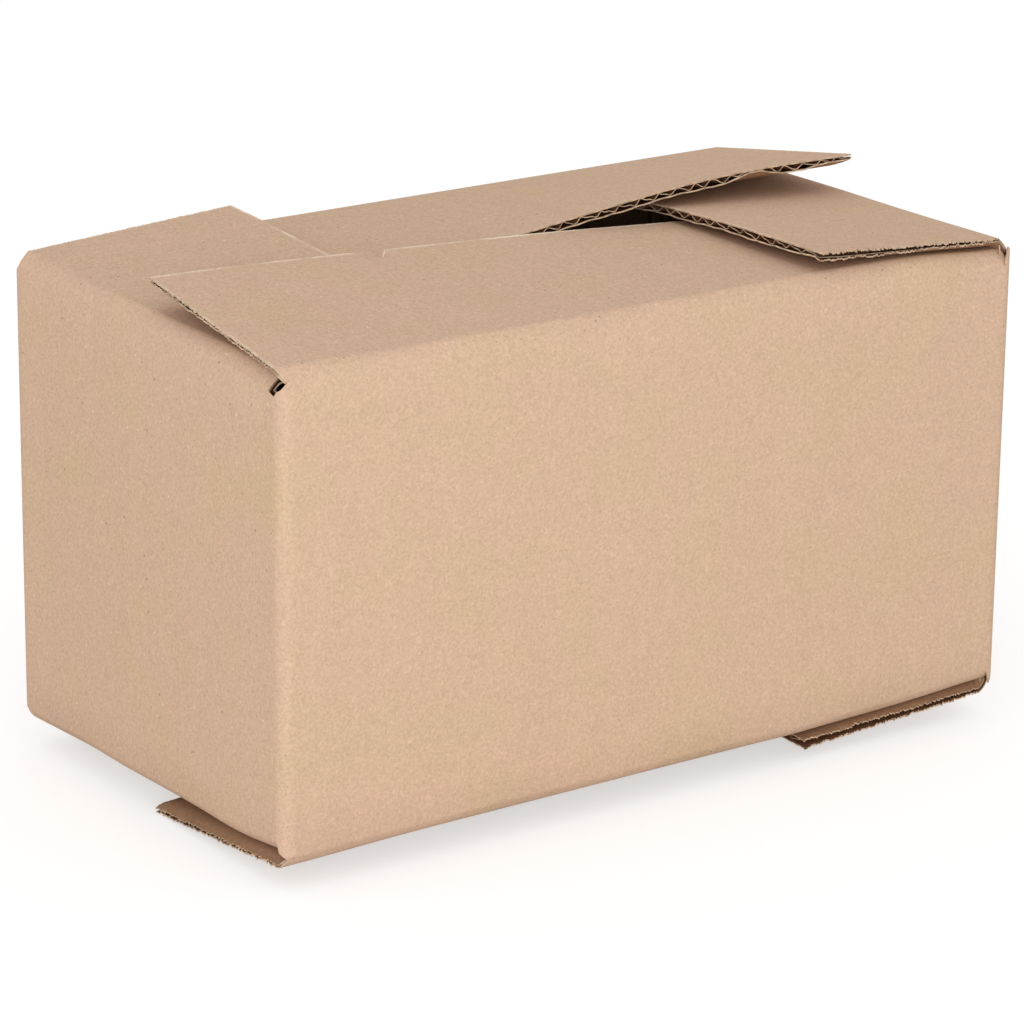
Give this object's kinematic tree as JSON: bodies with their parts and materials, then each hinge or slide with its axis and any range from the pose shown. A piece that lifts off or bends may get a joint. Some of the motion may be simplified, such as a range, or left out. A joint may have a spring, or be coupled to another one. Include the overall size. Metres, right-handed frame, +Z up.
{
  "type": "cardboard box",
  "caption": "Closed shipping carton of corrugated board, its flaps tucked over and under one another at the top and the bottom without tape.",
  "frame": {"origin": "middle of the carton in plan, at the height of the lowest corner of the bottom flaps, on which it stands", "axes": "+X along the length to the right end, +Y along the width to the back wall, +Z up"},
  "size_m": [0.3, 0.17, 0.1888],
  "materials": {
    "kraft_board": "matte, uncoated brown kraft paper"
  },
  "bodies": {
    "root": {"carton": "kraft_board"}
  },
  "joints": []
}
